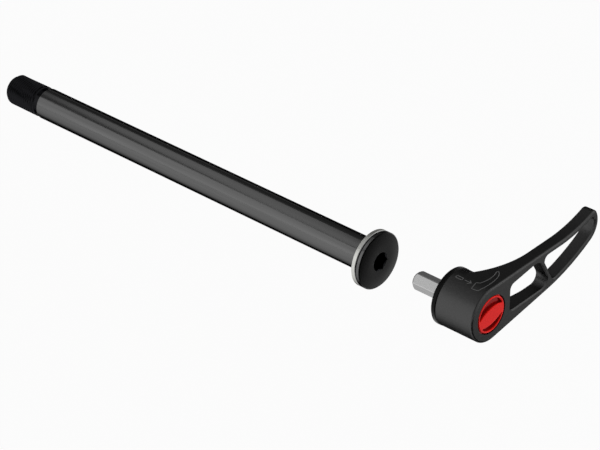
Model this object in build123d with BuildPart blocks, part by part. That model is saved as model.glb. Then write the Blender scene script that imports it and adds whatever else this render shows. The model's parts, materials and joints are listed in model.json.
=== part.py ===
from build123d import *
import os
from math import acos, atan2, cos, radians, sin, tan

# Bicycle thru axle with a plug-in ratchet lever, drawn with the lever pulled out of the head.
# Millimetres, +Z up. The origin is on the axle's axis, in the plane where the washer clamps the frame.
# +Y runs along the shank to the threaded end, +X is the way the lever's arm points.
# A "station" is a distance from the origin along -Y, so stations grow towards the rider's hand.

# Axle
shank_d = 12.0
shank_length = 161.0
relief_depth = 0.4
relief_length = 2.4
thread_d = 11.8
thread_length = 14.9
thread_chamfer = 0.8
bore_d = 5.4
head_d = 20.8
head_rim = 1.95
head_crown = 0.5
head_edge = 0.35
crown_flat_d = 9.0
undercut_depth = 0.25

# Washer under the head
washer_d = 20.8
washer_thickness = 1.7
washer_clearance = 0.06
washer_edge = 0.2

# Hexagon bar and its socket
key_flats = 6.0
key_clearance = 0.04
key_reach = 14.2
key_corner_d = 6.75
key_tip_chamfer = 0.5
key_turn = 20.0
socket_spare = 1.3
socket_chamfer = 0.4

# How far the lever is drawn out of the head
pulled_out = 30.4

# Ratchet hub
flange_d = 20.6
flange_thickness = 2.0
flange_edge = 0.35
tooth_count = 36
tooth_outer_d = 15.0
tooth_depth = 0.6
tooth_length = 1.9
tooth_root_land = 0.18
tooth_tip_land = 0.34
tooth_clearance = 0.06
pilot_d = 9.0
pilot_clearance = 0.05
face_gap = 0.12

# Lever boss
boss_d = 20.4
boss_length = 15.25
web_thickness = 1.6
tooth_relief = 0.3
spring_bore_d = 13.0

# Lever arm, seen along the axle: x outwards along the arm, z up
arm_reach = 55.1
arm_rise = 15.6
arm_thickness = 4.85
top_bend_x = 36.0
top_bend_z = 11.3
low_bend_x = 30.0
low_bend_z = -5.05
tip_heel_back = 1.4
tip_heel_drop = 11.8
tip_round = 2.2
arm_edge = 0.8
flare_radius = 37.0
flare_overrun = 0.2

# Windows in the arm
root_wall = 2.9
root_rim_top = 4.2
root_rim_low = 4.8
strut_rim_top = 2.5
strut_rim_low = 2.0
tip_rim = 2.0
strut_x = 29.6
strut_z = 2.7
strut_width = 1.6
strut_lean = 30.0
strut_round = 4.5
strut_foot_round = 3.0
window_round = 1.8
window_edge = 0.4

# Spring, its seat and the retaining screw
seat_thickness = 0.5
seat_clearance = 0.1
spring_wire_width = 1.2
spring_wire_height = 0.6
spring_mean_d = 10.8
spring_length = 6.1
spring_turns = 3.5
spring_end_gap = 0.02
retainer_d = 12.4
retainer_thickness = 0.8
screw_d = 4.0
screw_length = 9.0
screw_spare = 0.6
screw_head_d = 7.2
screw_head_height = 1.6
screw_head_chamfer = 0.4
screw_socket_flats = 2.5
screw_socket_depth = 1.0
screw_clearance = 0.02

# Cap in the end of the boss
cap_d = 14.2
cap_thickness = 2.15
cap_clearance = 0.05
cap_skirt_length = 1.4
cap_skirt_wall = 0.8
cap_groove = 0.35
cap_groove_depth = 0.7
cap_rim = 0.75
cap_recess = 1.0
cap_field_length = 13.2
cap_field_width = 6.4
cap_field_turn = 12.0
cap_field_drop = 0.7
cap_corner = 0.2
cap_edge = 0.3

# Stations worked out from the sizes above
head_back = washer_thickness
head_front = head_back + head_rim + head_crown
flange_back = head_front + pulled_out
flange_front = flange_back + flange_thickness
boss_back = flange_front + face_gap
boss_front = boss_back + boss_length
teeth_front = flange_front + tooth_length
web_back = teeth_front + tooth_relief
web_front = web_back + web_thickness
seat_front = web_front + seat_thickness
pilot_front = seat_front + spring_length
retainer_front = pilot_front + retainer_thickness
cap_seat = boss_front - cap_thickness
thread_start = shank_length + relief_length
axle_end = thread_start + thread_length

boss_r = boss_d / 2
shank_r = shank_d / 2
thread_r = thread_d / 2
head_r = head_d / 2
tooth_root_d = tooth_outer_d - 2 * tooth_depth
tooth_step = 360 / tooth_count

top_bend = (top_bend_x, top_bend_z)
low_bend = (low_bend_x, low_bend_z)


def across(station):
    """Plane square to the axle at a station, with x along the arm, y up and its normal to the rider."""
    return Plane.XZ.offset(station)


def hexagon(flats, turn=key_turn):
    """Hexagon by its width across flats, with one flat's normal at the given angle from the arm."""
    RegularPolygon(flats / 2, 6, major_radius=False, rotation=turn + 30)


def key_section():
    """Section of the hexagon bar: the hexagon with its corners turned down."""
    hexagon(key_flats)
    Circle(key_corner_d / 2, mode=Mode.INTERSECT)


def touch_point(knee_x, knee_z, side):
    """Point where a straight edge from a bend in the arm runs tangent onto the round boss."""
    away = (knee_x**2 + knee_z**2) ** 0.5
    angle = atan2(knee_z, knee_x) + side * acos(boss_r / away)
    return (boss_r * cos(angle), boss_r * sin(angle))


def edge_height(start, bend, x):
    """Height at x of the straight edge between its start on the boss and its bend."""
    return start[1] + (bend[1] - start[1]) * (x - start[0]) / (bend[0] - start[0])


def lever_outline():
    """Closed edge of boss and arm: tangent straights, then arcs that sweep up to the tip."""
    tip = (arm_reach, arm_rise)
    heel = (arm_reach - tip_heel_back, arm_rise - tip_heel_drop)
    top = Line(top_start, top_bend)
    TangentArc(top_bend, tip, tangent=top % 1)
    low = Line(low_start, low_bend)
    belly = TangentArc(low_bend, heel, tangent=low % 1)
    TangentArc(heel, tip, tangent=belly % 1)
    ThreePointArc(top_start, (-boss_r, 0), low_start)


def tooth_ring(outer_d, root_d):
    """Ring of straight-sided ratchet teeth as one star-shaped face."""
    rise_end = (1 + tooth_root_land - tooth_tip_land) / 2
    profile = (
        (0, root_d),
        (tooth_root_land, root_d),
        (rise_end, outer_d),
        (rise_end + tooth_tip_land, outer_d),
    )
    points = []
    for index in range(tooth_count):
        for share, diameter in profile:
            angle = radians((index + share) * tooth_step)
            points.append((diameter / 2 * cos(angle), diameter / 2 * sin(angle)))
    Polygon(*points, align=None)


top_start = touch_point(top_bend_x, top_bend_z, 1)
low_start = touch_point(low_bend_x, low_bend_z, -1)

# Axle: one turned and bored piece
with BuildPart() as axle:
    with BuildSketch(Plane.XY) as axle_section:
        with BuildLine():
            undercut_r = shank_r - undercut_depth
            relief_r = thread_r - relief_depth
            rim_front = -(head_back + head_rim)
            crown_edge = (head_r - head_edge, rim_front)
            crown = TangentArc((crown_flat_d / 2, -head_front), crown_edge, tangent=(1, 0))
            Polyline(
                crown @ 1,
                (head_r, rim_front + head_edge),
                (head_r, -head_back - head_edge),
                (head_r - head_edge, -head_back),
                (undercut_r, -head_back),
                (undercut_r, 0),
                (shank_r, 0),
                (shank_r, shank_length - relief_depth),
                (relief_r, shank_length),
                (relief_r, thread_start - relief_depth),
                (thread_r, thread_start),
                (thread_r, axle_end - thread_chamfer),
                (thread_r - thread_chamfer, axle_end),
                (bore_d / 2, axle_end),
                (bore_d / 2, -head_front),
                crown @ 0,
            )
        make_face()
    revolve(axis=Axis.Y)
    socket_flats = key_flats + 2 * key_clearance
    socket_depth = key_reach + socket_spare
    with BuildSketch(across(head_front)):
        hexagon(socket_flats)
    extrude(amount=-socket_depth, mode=Mode.SUBTRACT)
    with BuildSketch(across(head_front)):
        Circle(socket_flats / 2 + socket_chamfer)
    extrude(amount=-socket_chamfer, taper=45, mode=Mode.SUBTRACT)
axle.part.label = "axle"

# Loose washer under the head
with BuildPart() as washer:
    with BuildSketch(Plane.XZ):
        Circle(washer_d / 2)
        Circle(shank_r + washer_clearance, mode=Mode.SUBTRACT)
    extrude(amount=washer_thickness)
    chamfer(washer.edges().filter_by(GeomType.CIRCLE).group_by(SortBy.RADIUS)[-1], washer_edge)
washer.part.label = "washer"

# Hexagon bar, its tip turned to a chamfer, tapped for the retaining screw
with BuildPart() as hex_key:
    key_back = flange_back - key_reach
    with BuildSketch(across(key_back)):
        key_section()
    extrude(amount=pilot_front - key_back)
    with BuildSketch(Plane.XY):
        tip_r = key_flats / 2 - key_tip_chamfer
        Polygon(
            (tip_r, -key_back),
            (tip_r + key_flats, -key_back),
            (tip_r + key_flats, -key_back - key_flats),
            align=None,
        )
    revolve(axis=Axis.Y, mode=Mode.SUBTRACT)
    with BuildSketch(across(pilot_front)):
        Circle(screw_d / 2)
    extrude(amount=-screw_length, mode=Mode.SUBTRACT)
hex_key.part.label = "hex_key"

# Ratchet hub: flange, outer teeth and pilot sleeve on the hexagon bar
with BuildPart() as ratchet_hub:
    with BuildSketch(across(flange_back)):
        Circle(flange_d / 2)
    extrude(amount=flange_thickness)
    chamfer(ratchet_hub.edges().filter_by(GeomType.CIRCLE), flange_edge)
    with BuildSketch(across(flange_front)):
        tooth_ring(tooth_outer_d - 2 * tooth_clearance, tooth_root_d - 2 * tooth_clearance)
    extrude(amount=tooth_length)
    with BuildSketch(across(flange_front)):
        Circle(pilot_d / 2)
    extrude(amount=pilot_front - flange_front)
    with BuildSketch(across(flange_back)):
        key_section()
    extrude(amount=pilot_front - flange_back, mode=Mode.SUBTRACT)
ratchet_hub.part.label = "ratchet_hub"

# Lever: boss and arm forged in one, then bored and toothed
with BuildPart() as lever:
    with BuildSketch(across(boss_front)) as arm_face:
        with BuildLine():
            lever_outline()
        make_face()
        fillet(arm_face.vertices().sort_by(Axis.Y)[-1], tip_round)
    extrude(amount=-boss_length)
    with BuildSketch(Plane.XY):
        with BuildLine():
            arm_back = arm_thickness - boss_front
            flare_rise = boss_length - arm_thickness
            flare_end = top_start[0] - arm_edge - flare_overrun
            flare_start = flare_end + (flare_radius**2 - (flare_radius - flare_rise) ** 2) ** 0.5
            flat = Line((arm_reach + boss_d, arm_back), (flare_start, arm_back))
            flare = TangentArc(flat @ 1, (flare_end, -boss_back), tangent=(-1, 0))
            Polyline(flare @ 1, (arm_reach + boss_d, -boss_back), flat @ 0)
        make_face()
    extrude(amount=arm_reach, both=True, mode=Mode.SUBTRACT)
    fillet(lever.edges(Select.NEW).filter_by(Axis.Z, reverse=True), arm_edge)
    with BuildSketch(across(boss_back)):
        Circle(boss_r)
    extrude(amount=boss_length)
    fillet(lever.faces().sort_by(Axis.Y)[0].outer_wire().edges(), arm_edge)
    strut_half = strut_width / 2 / cos(radians(strut_lean))
    strut_slope = tan(radians(strut_lean))
    with BuildSketch(across(boss_front)) as root_window:
        root_x = cap_d / 2 + root_wall
        strut_top = top_bend_z - strut_rim_top
        strut_low = low_bend_z + strut_rim_low
        Polygon(
            (root_x, edge_height(top_start, top_bend, root_x) - root_rim_top),
            (strut_x - strut_half - strut_slope * (strut_top - strut_z), strut_top),
            (strut_x - strut_half - strut_slope * (strut_low - strut_z), strut_low),
            (root_x, edge_height(low_start, low_bend, root_x) + root_rim_low),
            align=None,
        )
        fillet(root_window.vertices().sort_by(Axis.Y)[-1], strut_round)
        fillet(root_window.vertices().sort_by(Axis.X)[-1], strut_foot_round)
        fillet(root_window.vertices().group_by(Axis.X)[0], window_round)
    extrude(amount=-boss_length, mode=Mode.SUBTRACT)
    with BuildSketch(across(boss_front)) as tip_window:
        with BuildLine():
            lever_outline()
        make_face()
        offset(amount=-tip_rim, mode=Mode.REPLACE)
        with Locations((strut_x + strut_half, strut_z)):
            Rectangle(
                2 * arm_reach,
                2 * arm_reach,
                rotation=strut_lean,
                align=(Align.MAX, Align.CENTER),
                mode=Mode.SUBTRACT,
            )
        fillet(tip_window.vertices().sort_by(Axis.X)[:2], window_round)
        fillet(tip_window.vertices().sort_by(Axis.Y)[-1], window_round)
    extrude(amount=-boss_length, mode=Mode.SUBTRACT)
    front_wires = lever.faces().sort_by(Axis.Y)[0].inner_wires()
    chamfer(front_wires.edges(), window_edge)
    with BuildSketch(across(boss_back)):
        tooth_ring(tooth_outer_d, tooth_root_d)
    extrude(amount=web_back - boss_back, mode=Mode.SUBTRACT)
    for bore, start, end in (
        (pilot_d + 2 * pilot_clearance, web_back, web_front),
        (spring_bore_d, web_front, cap_seat),
        (cap_d, cap_seat, boss_front),
    ):
        with BuildSketch(across(start)):
            Circle(bore / 2)
        extrude(amount=end - start, mode=Mode.SUBTRACT)
lever.part.label = "lever"

# Thrust washer that the spring presses onto the lever's web
with BuildPart() as spring_seat:
    with BuildSketch(across(web_front)):
        Circle(spring_bore_d / 2 - seat_clearance)
        Circle(pilot_d / 2 + seat_clearance, mode=Mode.SUBTRACT)
    extrude(amount=seat_thickness)
spring_seat.part.label = "spring_seat"

# Flat-wire compression spring between its seat and the retaining washer
with BuildPart() as spring:
    coil_start = seat_front + spring_wire_height / 2 + spring_end_gap
    coil_height = spring_length - spring_wire_height - 2 * spring_end_gap
    with BuildLine() as coil:
        Helix(
            pitch=coil_height / spring_turns,
            height=coil_height,
            radius=spring_mean_d / 2,
            center=(0, -coil_start, 0),
            direction=(0, -1, 0),
        )
    outwards = coil.line @ 0 + Vector(0, coil_start, 0)
    with BuildSketch(Plane(origin=coil.line @ 0, x_dir=outwards, z_dir=coil.line % 0)):
        Rectangle(spring_wire_width, spring_wire_height)
    sweep(path=coil.line, is_frenet=True)
spring.part.label = "spring"

# Washer that holds the spring, clamped on the end of the pilot sleeve
with BuildPart() as retaining_washer:
    with BuildSketch(across(pilot_front)):
        Circle(retainer_d / 2)
        Circle(screw_d / 2, mode=Mode.SUBTRACT)
    extrude(amount=retainer_thickness)
retaining_washer.part.label = "retaining_washer"

# Screw into the hexagon bar
with BuildPart() as retaining_screw:
    with BuildSketch(across(retainer_front)):
        Circle(screw_head_d / 2)
    extrude(amount=screw_head_height)
    head_rim_edge = retaining_screw.edges().filter_by(GeomType.CIRCLE).sort_by(Axis.Y)[0]
    chamfer(head_rim_edge, screw_head_chamfer)
    with BuildSketch(across(retainer_front)):
        Circle(screw_d / 2 - screw_clearance)
    extrude(amount=-(screw_length - screw_spare + retainer_thickness))
    with BuildSketch(across(retainer_front + screw_head_height)):
        hexagon(screw_socket_flats)
    extrude(amount=-screw_socket_depth, mode=Mode.SUBTRACT)
retaining_screw.part.label = "retaining_screw"

# Cap pressed into the boss, with a groove round its front: inside the rim an oval field runs across,
# with a crescent-shaped hollow on each side
with BuildPart() as end_cap:
    cap_r = cap_d / 2 - cap_clearance
    with BuildSketch(across(cap_seat)):
        Circle(cap_r)
    extrude(amount=cap_thickness - cap_groove_depth)
    cap_front_r = cap_r - cap_groove
    with BuildSketch(across(boss_front)):
        Circle(cap_front_r)
    extrude(amount=-cap_groove_depth)
    skirt_r = spring_bore_d / 2 - cap_clearance
    with BuildSketch(across(cap_seat)):
        Circle(skirt_r)
        Circle(skirt_r - cap_skirt_wall, mode=Mode.SUBTRACT)
    extrude(amount=-cap_skirt_length)
    with BuildSketch(across(boss_front)) as crescents:
        Circle(cap_front_r - cap_rim)
        with Locations(Vector(0, -cap_field_drop).rotate(Axis.Z, cap_field_turn)):
            Ellipse(cap_field_length / 2, cap_field_width / 2, rotation=cap_field_turn, mode=Mode.SUBTRACT)
        fillet(crescents.vertices(), cap_corner)
    extrude(amount=-cap_recess, mode=Mode.SUBTRACT)
    fillet(end_cap.faces().sort_by(Axis.Y)[0].edges(), cap_edge)
end_cap.part.label = "end_cap"

os.makedirs("parts", exist_ok=True)
export_step(axle.part, "parts/axle.step")
export_step(washer.part, "parts/washer.step")
export_step(hex_key.part, "parts/hex_key.step")
export_step(ratchet_hub.part, "parts/ratchet_hub.step")
export_step(lever.part, "parts/lever.step")
export_step(spring_seat.part, "parts/spring_seat.step")
export_step(spring.part, "parts/spring.step")
export_step(retaining_washer.part, "parts/retaining_washer.step")
export_step(retaining_screw.part, "parts/retaining_screw.step")
export_step(end_cap.part, "parts/end_cap.step")
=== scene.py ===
import json
from math import acos, atan2, cos, floor, hypot, pi, radians, sin, sqrt

import bpy
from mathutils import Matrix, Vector


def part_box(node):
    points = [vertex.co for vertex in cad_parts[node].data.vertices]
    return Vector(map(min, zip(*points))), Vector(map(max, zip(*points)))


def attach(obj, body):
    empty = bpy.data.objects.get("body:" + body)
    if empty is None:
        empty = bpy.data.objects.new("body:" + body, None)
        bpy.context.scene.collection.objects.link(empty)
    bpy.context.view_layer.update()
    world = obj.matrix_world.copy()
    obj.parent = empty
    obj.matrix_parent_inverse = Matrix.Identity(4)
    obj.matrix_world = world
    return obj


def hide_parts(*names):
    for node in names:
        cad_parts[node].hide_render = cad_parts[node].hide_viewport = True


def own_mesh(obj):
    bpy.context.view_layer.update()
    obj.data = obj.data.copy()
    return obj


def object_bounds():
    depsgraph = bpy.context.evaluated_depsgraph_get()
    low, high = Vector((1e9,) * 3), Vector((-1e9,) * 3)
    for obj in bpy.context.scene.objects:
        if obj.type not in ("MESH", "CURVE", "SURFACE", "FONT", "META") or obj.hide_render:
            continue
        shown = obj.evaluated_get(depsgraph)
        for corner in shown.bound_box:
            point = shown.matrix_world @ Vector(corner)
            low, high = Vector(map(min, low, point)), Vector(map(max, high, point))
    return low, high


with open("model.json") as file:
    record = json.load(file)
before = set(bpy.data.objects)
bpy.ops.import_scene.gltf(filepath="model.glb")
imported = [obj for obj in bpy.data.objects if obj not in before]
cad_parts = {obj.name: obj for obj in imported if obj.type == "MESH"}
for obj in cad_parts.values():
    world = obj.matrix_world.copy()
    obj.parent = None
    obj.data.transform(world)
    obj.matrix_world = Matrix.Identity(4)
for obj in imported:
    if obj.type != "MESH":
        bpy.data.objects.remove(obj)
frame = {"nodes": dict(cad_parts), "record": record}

# Looks of the bicycle thru axle: finishes for the CAD pieces, and an axle with its real thread.
# Metres, in the CAD's frame: the axle runs along Y, its clamping plane is Y = 0, the arm points to +X.

cad_low, cad_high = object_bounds()
nodes = frame["nodes"]
mounts = {mount["name"]: mount for mount in frame["record"]["mounts"]}
MM = 0.001

# The axle's sizes, from the record and the CAD pieces where they have them
shank_r = mounts["shank"]["dims"]["r_mm"] * MM
shank_length = mounts["shank"]["dims"]["length_mm"] * MM
thread_r = mounts["threaded_end"]["dims"]["r_mm"] * MM
thread_length = mounts["threaded_end"]["dims"]["length_mm"] * MM
axle_low, axle_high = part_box("axle")
washer_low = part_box("washer")[0]
axle_end = axle_high.y
thread_chamfer = 0.8 * MM
thread_pitch = 1.0 * MM
thread_depth = 0.4 * MM
thread_run_out = 0.9 * MM
thread_top = axle_end - thread_chamfer
thread_base = thread_top - thread_length
relief_depth = 0.4 * MM
relief_r = thread_r - relief_depth
undercut_depth = 0.25 * MM
bore_r = 2.7 * MM

# The axle's head: its dark seam, a painted shade for the gap against the washer, is measured from the back;
# its crown is domed outside a flat middle
head_r = axle_high.x
head_front = axle_low.y
head_back = washer_low.y
head_edge = 0.35 * MM
head_shade_band = 0.6 * MM
head_crown = 0.5 * MM
crown_flat_r = 4.5 * MM

# The hexagon socket, with its turn in degrees
socket_flats = 6.08 * MM
socket_depth = 15.5 * MM
socket_chamfer = 0.4 * MM
socket_lip = 0.02 * MM
socket_turn = 20
full_turn = 360
half_sector = 30

# How finely the axle and the spring are drawn, and the angle in degrees over which an edge is sharp
steps_around = 144
rows_per_pitch = 8
crown_steps = 10
coil_steps_per_turn = 32
sharp_angle = 20

# The lever's boss and the first bend in the arm's top edge
boss_r = 10.2 * MM
arm_bend_x = 36.0 * MM
arm_bend_z = 11.3 * MM

# The line of the sign on the arm: half its width, its top and its root under the surface
line_half = 0.13 * MM
line_top = 0.03 * MM
line_root = -0.05 * MM
line_step = 0.4 * MM

# The washer's chamfer, the cap's rounded edge and the depth of the cap's hollows, which bound the painted
# shade on the washer and in the cap
washer_edge = 0.2 * MM
cap_edge = 0.3 * MM
cap_recess = 1.0 * MM

# The spring's wire
spring_turns = 3.5
wire_width = 1.2 * MM
wire_height = 0.6 * MM

# The noise in the finishes, and the part of its range that is used
noise_detail = 4.0
noise_roughness = 0.6
noise_low = 0.3
noise_high = 0.7
fine_grain = 0.004 * MM

# The photograph's camera
camera_place = (-0.53398, -0.45471, 0.44161)
camera_aim = (0.6301, 0.5750, -0.5218)
camera_lens = 147.0
sensor_width = 36.0
nearest_seen = 0.01

# The floor: half its width, its room below the tip of the arm when that is turned down, its own tone,
# and the share of plain white in it where it is seen
floor_half = 4.0
floor_gap = 2.0 * MM
floor_tone = 0.97
floor_glow = 0.95
matt_roughness = 0.9

# The dark card just over the floor, by two opposite corners
card_corners = ((-0.30, -0.40), (0.045, -0.075))
card_lift = 1.0 * MM
card_tone = 0.01

# The world's tones near the horizon and overhead, and the heights of view between which they blend,
# where 0 is level and 1 straight up
horizon_height, horizon_tone = 0.12, 0.35
overhead_height, overhead_tone = 0.42, 0.12


def grey(value):
    return (value, value, value)


def add_node(tree, kind, inputs=None, **settings):
    """New node with its settings, and with values for inputs that nothing is linked to."""
    node = tree.nodes.new(kind)
    for key, value in settings.items():
        setattr(node, key, value)
    for key, value in (inputs or {}).items():
        node.inputs[key].default_value = value
    return node


def new_material(name):
    """Plain node material, with its tree."""
    material = bpy.data.materials.new(name)
    material.use_nodes = True
    return material, material.node_tree


def shader_of(tree):
    """The shader that every new material has."""
    return tree.nodes["Principled BSDF"]


def stretched_noise(tree, stretch, scale):
    """Noise in object space, drawn out by the three factors in stretch."""
    place = add_node(tree, "ShaderNodeTexCoord")
    mapping = add_node(tree, "ShaderNodeMapping", {"Scale": stretch})
    look = {"Scale": scale, "Detail": noise_detail, "Roughness": noise_roughness}
    noise = add_node(tree, "ShaderNodeTexNoise", look)
    tree.links.new(place.outputs["Object"], mapping.inputs["Vector"])
    tree.links.new(mapping.outputs["Vector"], noise.inputs["Vector"])
    return noise.outputs["Fac"]


def ranged(tree, value, low, high):
    """Map a noise value onto the span from low to high."""
    ends = {"From Min": noise_low, "From Max": noise_high, "To Min": low, "To Max": high}
    span = add_node(tree, "ShaderNodeMapRange", ends)
    tree.links.new(value, span.inputs["Value"])
    return span.outputs["Result"]


def two_tones(ramp, start, start_tone, end, end_tone):
    """Set a colour ramp's two ends."""
    first, last = ramp.color_ramp.elements
    first.position, first.color = start, (*start_tone, 1)
    last.position, last.color = end, (*end_tone, 1)


def tinted(tree, value, dark, light):
    """Colour between two tones, by a noise value."""
    ramp = add_node(tree, "ShaderNodeValToRGB")
    two_tones(ramp, noise_low, dark, noise_high, light)
    tree.links.new(value, ramp.inputs["Fac"])
    return ramp.outputs["Color"]


def bumped(tree, value, depth):
    """Surface direction for a relief by a noise value, to a depth in metres."""
    bump = add_node(tree, "ShaderNodeBump", {"Strength": 1.0, "Distance": depth})
    tree.links.new(value, bump.inputs["Height"])
    return bump.outputs["Normal"]


def surface(name, dark, light, rough, edge, scale, stretch=(1, 1, 1), grain=fine_grain, metallic=1.0):
    """Finish with two close tones, a span of roughness, a tone for glancing angles, and fine grain."""
    material, tree = new_material(name)
    shader = shader_of(tree)
    noise = stretched_noise(tree, stretch, scale)
    tree.links.new(tinted(tree, noise, dark, light), shader.inputs["Base Color"])
    tree.links.new(ranged(tree, noise, *rough), shader.inputs["Roughness"])
    tree.links.new(bumped(tree, noise, grain), shader.inputs["Normal"])
    shader.inputs["Metallic"].default_value = metallic
    shader.inputs["Specular Tint"].default_value = (*edge, 1)
    return material


def painted_shade_along_y(material, start, end, shade_tone):
    """Painted shade: blend a finish's colour along the axle, from its own at Y = start to a darker one at Y =
    end.
    """
    tree = material.node_tree
    colour = shader_of(tree).inputs["Base Color"]
    place = add_node(tree, "ShaderNodeTexCoord")
    split = add_node(tree, "ShaderNodeSeparateXYZ")
    depth = add_node(tree, "ShaderNodeMapRange", {"From Min": start, "From Max": end})
    blend = add_node(tree, "ShaderNodeMix", {"B": (*shade_tone, 1)}, data_type="RGBA")
    tree.links.new(place.outputs["Object"], split.inputs["Vector"])
    tree.links.new(split.outputs["Y"], depth.inputs["Value"])
    tree.links.new(depth.outputs["Result"], blend.inputs["Factor"])
    tree.links.new(colour.links[0].from_socket, blend.inputs["A"])
    tree.links.new(blend.outputs["Result"], colour)


anodised_shaft = surface(
    "anodised_shaft",
    grey(0.119),
    grey(0.142),
    rough=(0.15, 0.21),
    edge=grey(0.02),
    scale=900,
    stretch=(1, 0.02, 1),
)
# The head's face is the same anodised finish as the shaft; it is drawn near black here, a painted shade
shaded_head_face = surface("shaded_head_face", grey(0.002), grey(0.004), rough=(0.3, 0.4), edge=grey(1.0), scale=900)
thread_black = surface(
    "thread_black",
    (0.010, 0.010, 0.011),
    (0.017, 0.017, 0.019),
    rough=(0.15, 0.24),
    edge=grey(0.4),
    scale=2500,
    grain=0.01 * MM,
)
anodised_lever = surface(
    "anodised_lever",
    grey(0.080),
    grey(0.098),
    rough=(0.36, 0.44),
    edge=grey(0.0),
    scale=2500,
    grain=0.03 * MM,
)
black_hub = surface("black_hub", grey(0.010), grey(0.014), rough=(0.35, 0.45), edge=grey(1.0), scale=1500)
tool_steel = surface(
    "tool_steel",
    grey(0.52),
    grey(0.60),
    rough=(0.24, 0.32),
    edge=grey(0.0),
    scale=1500,
    stretch=(1, 0.05, 1),
)
inner_steel = surface("inner_steel", grey(0.5), grey(0.58), rough=(0.3, 0.4), edge=grey(0.3), scale=1200)

# The washer is painted darker on the edge that meets the head, a painted shade for the gap between washer and
# head
bright_metal = surface(
    "bright_metal",
    (0.63, 0.63, 0.60),
    (0.70, 0.70, 0.67),
    rough=(0.28, 0.38),
    edge=grey(0.12),
    scale=900,
    stretch=(1, 8, 1),
)
# Painted shade: the washer's edge against the head blends to dark grey
painted_shade_along_y(bright_metal, washer_low.y + washer_edge, washer_low.y + washer_edge / 2, grey(0.28))

# The cap is gloss red with a metallic gleam; its hollows are painted a darker red than its front, a painted
# shade
red_cap = surface(
    "red_cap",
    (0.82, 0.017, 0.011),
    (0.90, 0.020, 0.013),
    rough=(0.16, 0.24),
    edge=(0.3, 0.01, 0.01),
    scale=900,
    grain=0.003 * MM,
    metallic=0.5,
)
cap_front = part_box("end_cap")[0].y
# Painted shade: darker red from the cap's front edge down into its hollows
painted_shade_along_y(red_cap, cap_front + cap_edge, cap_front + cap_recess, (0.30, 0.006, 0.007))

# The sign is pale and matt, as a laser leaves it on black anodising
etched_mark = surface(
    "etched_mark", grey(0.16), grey(0.21), rough=(0.5, 0.65), edge=grey(1.0), scale=3000, metallic=0.0
)


def mesh_piece(name, points, faces, materials, body):
    """New object from points and faces, smooth apart from its sharp edges, on a CAD body."""
    mesh = bpy.data.meshes.new(name)
    mesh.from_pydata(points, [], faces)
    mesh.validate()
    mesh.shade_smooth()
    mesh.set_sharp_from_angle(angle=radians(sharp_angle))
    for material in materials:
        mesh.materials.append(material)
    piece = bpy.data.objects.new(name, mesh)
    bpy.context.scene.collection.objects.link(piece)
    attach(piece, body)
    return piece


def hexagon_r(turn):
    """Distance from the axis to the socket's wall, at an angle in turns."""
    sector = (turn * full_turn - socket_turn + half_sector) % (2 * half_sector) - half_sector
    return socket_flats / 2 / cos(radians(sector))


def thread_dip(turn, y):
    """How far the right-handed thread lies below its crest: a V with a flat root, fading out at its base."""
    flank_slope = 2.7
    along = (y - axle_end) / thread_pitch + turn
    from_crest = 0.5 - abs(along - floor(along) - 0.5)
    fade = min(1.0, max(0.0, (y - thread_base) / thread_run_out))
    return thread_depth * min(1.0, flank_slope * from_crest) * fade


def ring(r, y):
    """Row of the axle's skin that has one radius and Y at every angle."""
    return lambda turn: (r, y)


def thread_rows():
    """Rows from the bore's far end over the thread to the relief groove."""
    rows = [ring(bore_r, axle_end), ring(thread_r - thread_chamfer, axle_end)]
    count = int(thread_length / thread_pitch) * rows_per_pitch
    for index in range(count + 1):
        y = thread_top - thread_length * index / count
        rows.append(lambda turn, y=y: (thread_r - thread_dip(turn, y), y))
    return rows + [ring(relief_r, thread_base - relief_depth)]


def crown_rows():
    """Rows over the head's front edge and its domed face to the flat round the socket."""
    rows = [ring(head_r, head_front + head_crown + head_edge)]
    run = head_r - head_edge - crown_flat_r
    radius = (run**2 + head_crown**2) / (2 * head_crown)
    for index in range(crown_steps + 1):
        out = run * (1 - index / crown_steps)
        drop = radius - sqrt(radius**2 - out**2)
        rows.append(ring(crown_flat_r + out, head_front + drop))
    return rows


def socket_rows():
    """Rows from the socket's chamfered mouth to its end, where the bore starts."""
    mouth_r = socket_flats / 2 + socket_chamfer
    socket_end = head_front + socket_depth
    return [
        lambda turn: (max(mouth_r, hexagon_r(turn) + socket_lip), head_front),
        lambda turn: (hexagon_r(turn), head_front + max(0.0, mouth_r - hexagon_r(turn))),
        lambda turn: (hexagon_r(turn), socket_end),
        ring(bore_r, socket_end),
    ]


def axle_zones():
    """The axle's skin in zones of one finish, each with rows that give radius and Y at an angle in turns."""
    shank = [
        ring(relief_r, shank_length + relief_depth),
        ring(shank_r, shank_length),
        ring(shank_r, 0),
        ring(shank_r - undercut_depth, 0),
    ]
    # Painted shade: the head's back face and the rim nearest the washer take the near-black thread finish,
    # for the shadow in the gap
    shaded_seam = [
        ring(shank_r - undercut_depth, head_back),
        ring(head_r - head_edge, head_back),
        ring(head_r, head_back - head_edge),
    ]
    rim = [ring(head_r, head_back - head_shade_band)]
    return [
        (thread_rows(), thread_black),
        (shank, anodised_shaft),
        (shaded_seam, thread_black),
        (rim, anodised_shaft),
        (crown_rows(), shaded_head_face),
        (socket_rows(), thread_black),
    ]


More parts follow.
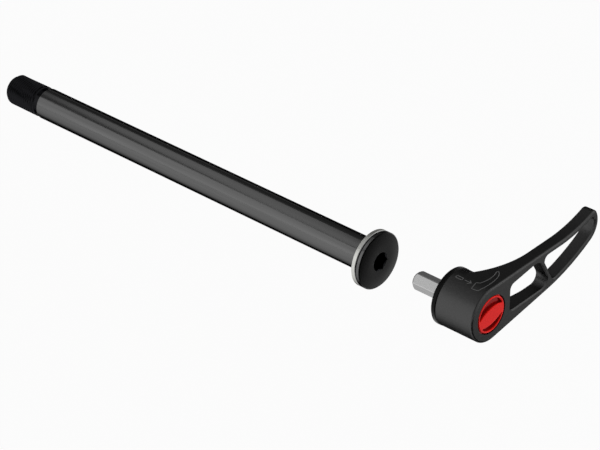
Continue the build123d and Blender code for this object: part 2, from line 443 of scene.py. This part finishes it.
def threaded_axle():
    """Axle with its thread cut in, in place of the plain CAD node."""
    zones = axle_zones()
    rows = [row for zone, finish in zones for row in zone]
    finish_of_row = [index for index, (zone, finish) in enumerate(zones) for row in zone]
    first_turn = (socket_turn + half_sector) / full_turn
    points = []
    for row in rows:
        for step in range(steps_around):
            turn = step / steps_around + first_turn
            r, y = row(turn)
            points.append((r * cos(turn * 2 * pi), y, r * sin(turn * 2 * pi)))
    faces = []
    face_finish = []
    for index in range(len(rows)):
        this, after = index * steps_around, (index + 1) % len(rows) * steps_around
        for step in range(steps_around):
            beside = (step + 1) % steps_around
            faces.append((this + step, this + beside, after + beside, after + step))
            face_finish.append(finish_of_row[index])
    piece = mesh_piece("threaded_axle", points, faces, [finish for zone, finish in zones], "axle")
    piece.data.polygons.foreach_set("material_index", face_finish)
    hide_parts("axle")


def coil_spring():
    """Flat-wire spring in place of the CAD node, because it shortens when the lever is pulled."""
    spring_low, spring_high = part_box("spring")
    steps = int(spring_turns * coil_steps_per_turn)
    rise = spring_high.y - spring_low.y - wire_height
    section = [(0, 0), (0, 1), (1, 1), (1, 0)]
    points = []
    for step in range(steps + 1):
        angle = 2 * pi * step / coil_steps_per_turn
        y = spring_low.y + rise * step / steps
        for inwards, up in section:
            r = spring_high.x - wire_width * inwards
            points.append((r * sin(angle), y + wire_height * up, r * cos(angle)))
    corners = len(section)
    last = corners * steps
    faces = [tuple(range(corners)), tuple(reversed(range(last, last + corners)))]
    for step in range(steps):
        this, after = step * corners, (step + 1) * corners
        for corner in range(corners):
            beside = (corner + 1) % corners
            faces.append((this + corner, after + corner, after + beside, this + beside))
    piece = mesh_piece("coil_spring", points, faces, [inner_steel], "key")
    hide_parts("spring")
    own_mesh(piece)


def arm_point(along, station, lift):
    """Point over the arm's root: along its top edge from where that leaves the boss, or back round it."""
    away = hypot(arm_bend_x, arm_bend_z)
    leave = atan2(arm_bend_z, arm_bend_x) + acos(boss_r / away)
    angle = leave + max(0.0, -along) / boss_r
    reach = max(0.0, along)
    r = boss_r + lift
    return (r * cos(angle) + reach * sin(leave), -station, r * sin(angle) - reach * cos(leave))


def bow(start, middle, end, steps=8):
    """Places on a smooth curve from start to end, drawn towards middle."""
    places = []
    for index in range(steps + 1):
        t = index / steps
        first, second, third = (1 - t) ** 2, 2 * t * (1 - t), t**2
        places.append(tuple(first * a + second * b + third * c for a, b, c in zip(start, middle, end)))
    return places


def close_set(path):
    """The same path with places added, so that a line drawn through them follows the round boss."""
    places = path[:1]
    for before, after in zip(path, path[1:]):
        runs = max(1, round(hypot(after[0] - before[0], after[1] - before[1]) / line_step))
        for run in range(1, runs + 1):
            places.append(tuple(a + (b - a) * run / runs for a, b in zip(before, after)))
    return places


def etched_line(path, closed):
    """Points and faces of a thin line on the arm's root, along a path of places."""
    path = close_set(path + path[:1])[:-1] if closed else close_set(path)
    count = len(path)
    points = []
    for index, (along, station) in enumerate(path):
        before = path[index - 1] if index or closed else path[0]
        after = path[(index + 1) % count] if index < count - 1 or closed else path[-1]
        turn = Vector((after[0] - before[0], after[1] - before[1])).normalized()
        for side in (line_half, -line_half):
            for lift in (line_top, line_root):
                points.append(arm_point(along - turn.y * side, station + turn.x * side, lift))
    section = (0, 2, 3, 1)
    corners = len(section)
    faces = []
    for index in range(count if closed else count - 1):
        this, after = index * corners, (index + 1) % count * corners
        for one, two in zip(section, section[1:] + section[:1]):
            faces.append((this + one, after + one, after + two, this + two))
    if not closed:
        last = (count - 1) * corners
        faces += [section, tuple(last + corner for corner in reversed(section))]
    return points, faces


def in_metres(path):
    """A path of places in millimetres, turned into metres."""
    return [(along * MM, station * MM) for along, station in path]


def pull_sign():
    """Plain sign etched by the boss: bar, arrow along the axle and a small lever."""
    # Places in millimetres, along the arm's top edge and along the axle
    bar = [(-2.2, 38.4), (-2.2, 41.0), (-1.2, 41.0), (-1.2, 38.4)]
    shaft = [(-1.7, 41.9), (-1.7, 44.6)]
    barbs = [(-2.6, 43.5), (-1.7, 44.6), (-0.8, 43.5)]
    lever = [(-3.4, 48.7), (-3.6, 46.2), (-0.6, 45.8)]
    lever += bow((0.0, 46.9), (4.6, 48.6), (8.6, 46.9))
    lever += bow((9.2, 47.2), (7.6, 50.2), (-0.9, 49.6))
    points, faces = [], []
    for path, closed in ((bar, True), (shaft, False), (barbs, False), (lever, True)):
        line_points, line_faces = etched_line(in_metres(path), closed)
        start = len(points)
        points += line_points
        faces += [tuple(start + corner for corner in face) for face in line_faces]
    piece = mesh_piece("pull_sign", points, faces, [etched_mark], "lever")


def dress(node, material):
    """Give a CAD node its finish."""
    nodes[node].data.materials.clear()
    nodes[node].data.materials.append(material)


dress("washer", bright_metal)
dress("hex_key", tool_steel)
dress("ratchet_hub", black_hub)
dress("lever", anodised_lever)
dress("end_cap", red_cap)
for inner in ("spring_seat", "retaining_washer", "retaining_screw"):
    dress(inner, inner_steel)
threaded_axle()
coil_spring()
pull_sign()


def softbox(name, direction, distance, width, height, radiance):
    """Large light looking at the object, its power worked out from the brightness of its face."""
    light = bpy.data.lights.new(name, "AREA")
    light.shape = "RECTANGLE"
    light.size = width
    light.size_y = height
    light.energy = radiance * pi * width * height
    lamp = bpy.data.objects.new(name, light)
    bpy.context.scene.collection.objects.link(lamp)
    towards = Vector(direction).normalized()
    lamp.location = (cad_low + cad_high) / 2 + towards * distance
    lamp.rotation_euler = (-towards).to_track_quat("-Z", "Y").to_euler()


softbox("left_box", (-0.72, 0.60, 0.34), distance=1.0, width=0.95, height=0.73, radiance=0.82)
softbox("top_box", (-0.11, 0.585, 0.80), distance=0.94, width=0.92, height=0.26, radiance=0.59)
softbox("front_box", (0.15, -0.72, 0.68), distance=1.1, width=2.2, height=1.1, radiance=0.55)
softbox("right_box", (0.85, -0.50, 0.20), distance=1.1, width=1.0, height=0.8, radiance=0.9)
softbox("far_box", (0.67, 0.71, 0.18), distance=0.65, width=0.24, height=0.30, radiance=0.6)


def studio_world():
    """Pale near the horizon and dim overhead, as in a studio with white walls."""
    world = bpy.data.worlds.new("studio")
    bpy.context.scene.world = world
    world.use_nodes = True
    tree = world.node_tree
    place = add_node(tree, "ShaderNodeTexCoord")
    split = add_node(tree, "ShaderNodeSeparateXYZ")
    ramp = add_node(tree, "ShaderNodeValToRGB")
    two_tones(ramp, horizon_height, grey(horizon_tone), overhead_height, grey(overhead_tone))
    tree.links.new(place.outputs["Generated"], split.inputs["Vector"])
    tree.links.new(split.outputs["Z"], ramp.inputs["Fac"])
    tree.links.new(ramp.outputs["Color"], tree.nodes["Background"].inputs["Color"])


def matt(name, tone):
    """Material of one matt grey."""
    material, tree = new_material(name)
    shader = shader_of(tree)
    shader.inputs["Base Color"].default_value = (*grey(tone), 1)
    shader.inputs["Roughness"].default_value = matt_roughness
    shader.inputs["Specular IOR Level"].default_value = 0.0
    return material


def level_sheet(name, near_left, far_right, z, material):
    """Flat level rectangle between two opposite corners."""
    (left, near), (right, far) = near_left, far_right
    mesh = bpy.data.meshes.new(name)
    mesh.from_pydata([(left, near, z), (right, near, z), (right, far, z), (left, far, z)], [], [(0, 1, 2, 3)])
    mesh.materials.append(material)
    sheet = bpy.data.objects.new(name, mesh)
    bpy.context.scene.collection.objects.link(sheet)
    return sheet


def floor_height():
    """Height of the floor, below the lever's sweep."""
    lever_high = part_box("lever")[1]
    return -hypot(lever_high.x, lever_high.z) - floor_gap


def studio_floor():
    """Plain pale floor, lifted towards white where it is seen, with its shadow kept."""
    material = matt("floor", floor_tone)
    tree = material.node_tree
    path = add_node(tree, "ShaderNodeLightPath")
    glow = add_node(tree, "ShaderNodeEmission")
    either = add_node(tree, "ShaderNodeMath", operation="MAXIMUM")
    seen = add_node(tree, "ShaderNodeMath", operation="MAXIMUM")
    share = add_node(tree, "ShaderNodeMath", {1: floor_glow}, operation="MULTIPLY")
    mix = add_node(tree, "ShaderNodeMixShader")
    tree.links.new(path.outputs["Is Camera Ray"], either.inputs[0])
    tree.links.new(path.outputs["Is Glossy Ray"], either.inputs[1])
    tree.links.new(either.outputs["Value"], seen.inputs[0])
    tree.links.new(path.outputs["Is Transmission Ray"], seen.inputs[1])
    tree.links.new(seen.outputs["Value"], share.inputs[0])
    tree.links.new(share.outputs["Value"], mix.inputs["Fac"])
    tree.links.new(shader_of(tree).outputs["BSDF"], mix.inputs[1])
    tree.links.new(glow.outputs["Emission"], mix.inputs[2])
    tree.links.new(mix.outputs["Shader"], tree.nodes["Material Output"].inputs["Surface"])
    corners = ((-floor_half, -floor_half), (floor_half, floor_half))
    ground = level_sheet("floor", *corners, floor_height(), material)


def dark_card():
    """Black card in front of the lever, seen in reflections only: it darkens the front edge of the boss."""
    card = level_sheet("dark_card", *card_corners, floor_height() + card_lift, matt("dark_card", card_tone))
    card.visible_camera = False
    card.visible_diffuse = False
    card.visible_shadow = False
    card.visible_transmission = False


def photo_camera():
    """Camera at the photograph's place and angle."""
    lens = bpy.data.cameras.new("photo_camera")
    lens.sensor_width = sensor_width
    lens.lens = camera_lens
    lens.clip_start = nearest_seen
    camera = bpy.data.objects.new("photo_camera", lens)
    camera.location = camera_place
    camera.rotation_euler = Vector(camera_aim).to_track_quat("-Z", "Y").to_euler()
    bpy.context.scene.collection.objects.link(camera)
    bpy.context.scene.camera = camera


studio_world()
studio_floor()
dark_card()
photo_camera()
bpy.context.scene.view_settings.view_transform = "Standard"
